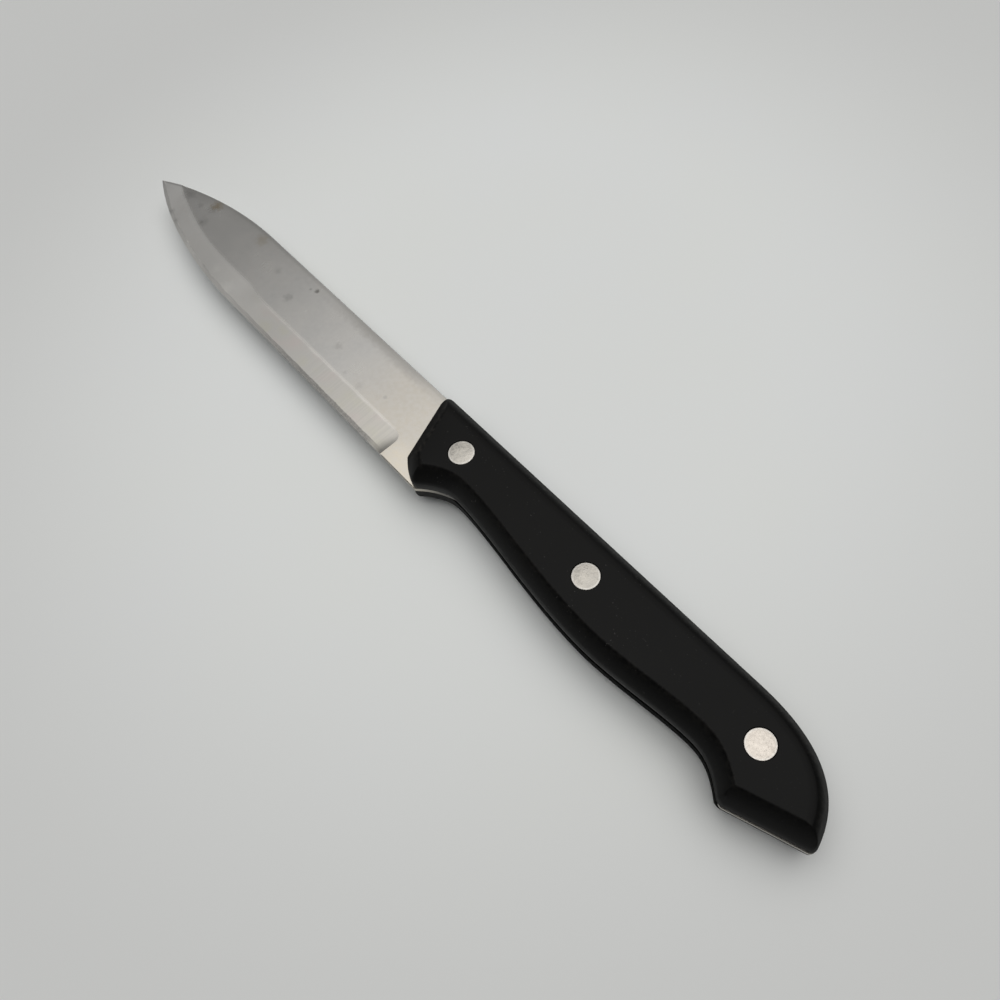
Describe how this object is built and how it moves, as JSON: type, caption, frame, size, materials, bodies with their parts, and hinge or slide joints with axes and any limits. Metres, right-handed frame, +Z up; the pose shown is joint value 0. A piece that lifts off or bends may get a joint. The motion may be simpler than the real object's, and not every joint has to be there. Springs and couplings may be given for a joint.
{
  "type": "kitchen utility knife",
  "caption": "Kitchen utility knife with a slim ground blade on a full tang and contoured black handle scales clamped by flush round rivets, for small cutting and peeling work.",
  "frame": {"origin": "middle of the box round the knife as it lies on its side, on the surface that it lies on", "axes": "+X from the blade's tip to the butt of the handle, +Y from the cutting edge to the spine, +Z up from the surface"},
  "size_m": [0.2408, 0.0218, 0.0143],
  "materials": {
    "blade_steel": "satin, ground across the edge bevel",
    "handle_plastic": "satin black, moulded with a fine texture",
    "rivet_metal": "satin, faintly mottled"
  },
  "bodies": {
    "root": {"blade": "blade_steel", "upper_scale": "handle_plastic", "lower_scale": "handle_plastic", "front_rivet_post": "rivet_metal", "front_rivet_socket": "rivet_metal", "middle_rivet_post": "rivet_metal", "middle_rivet_socket": "rivet_metal", "rear_rivet_post": "rivet_metal", "rear_rivet_socket": "rivet_metal"}
  },
  "joints": []
}
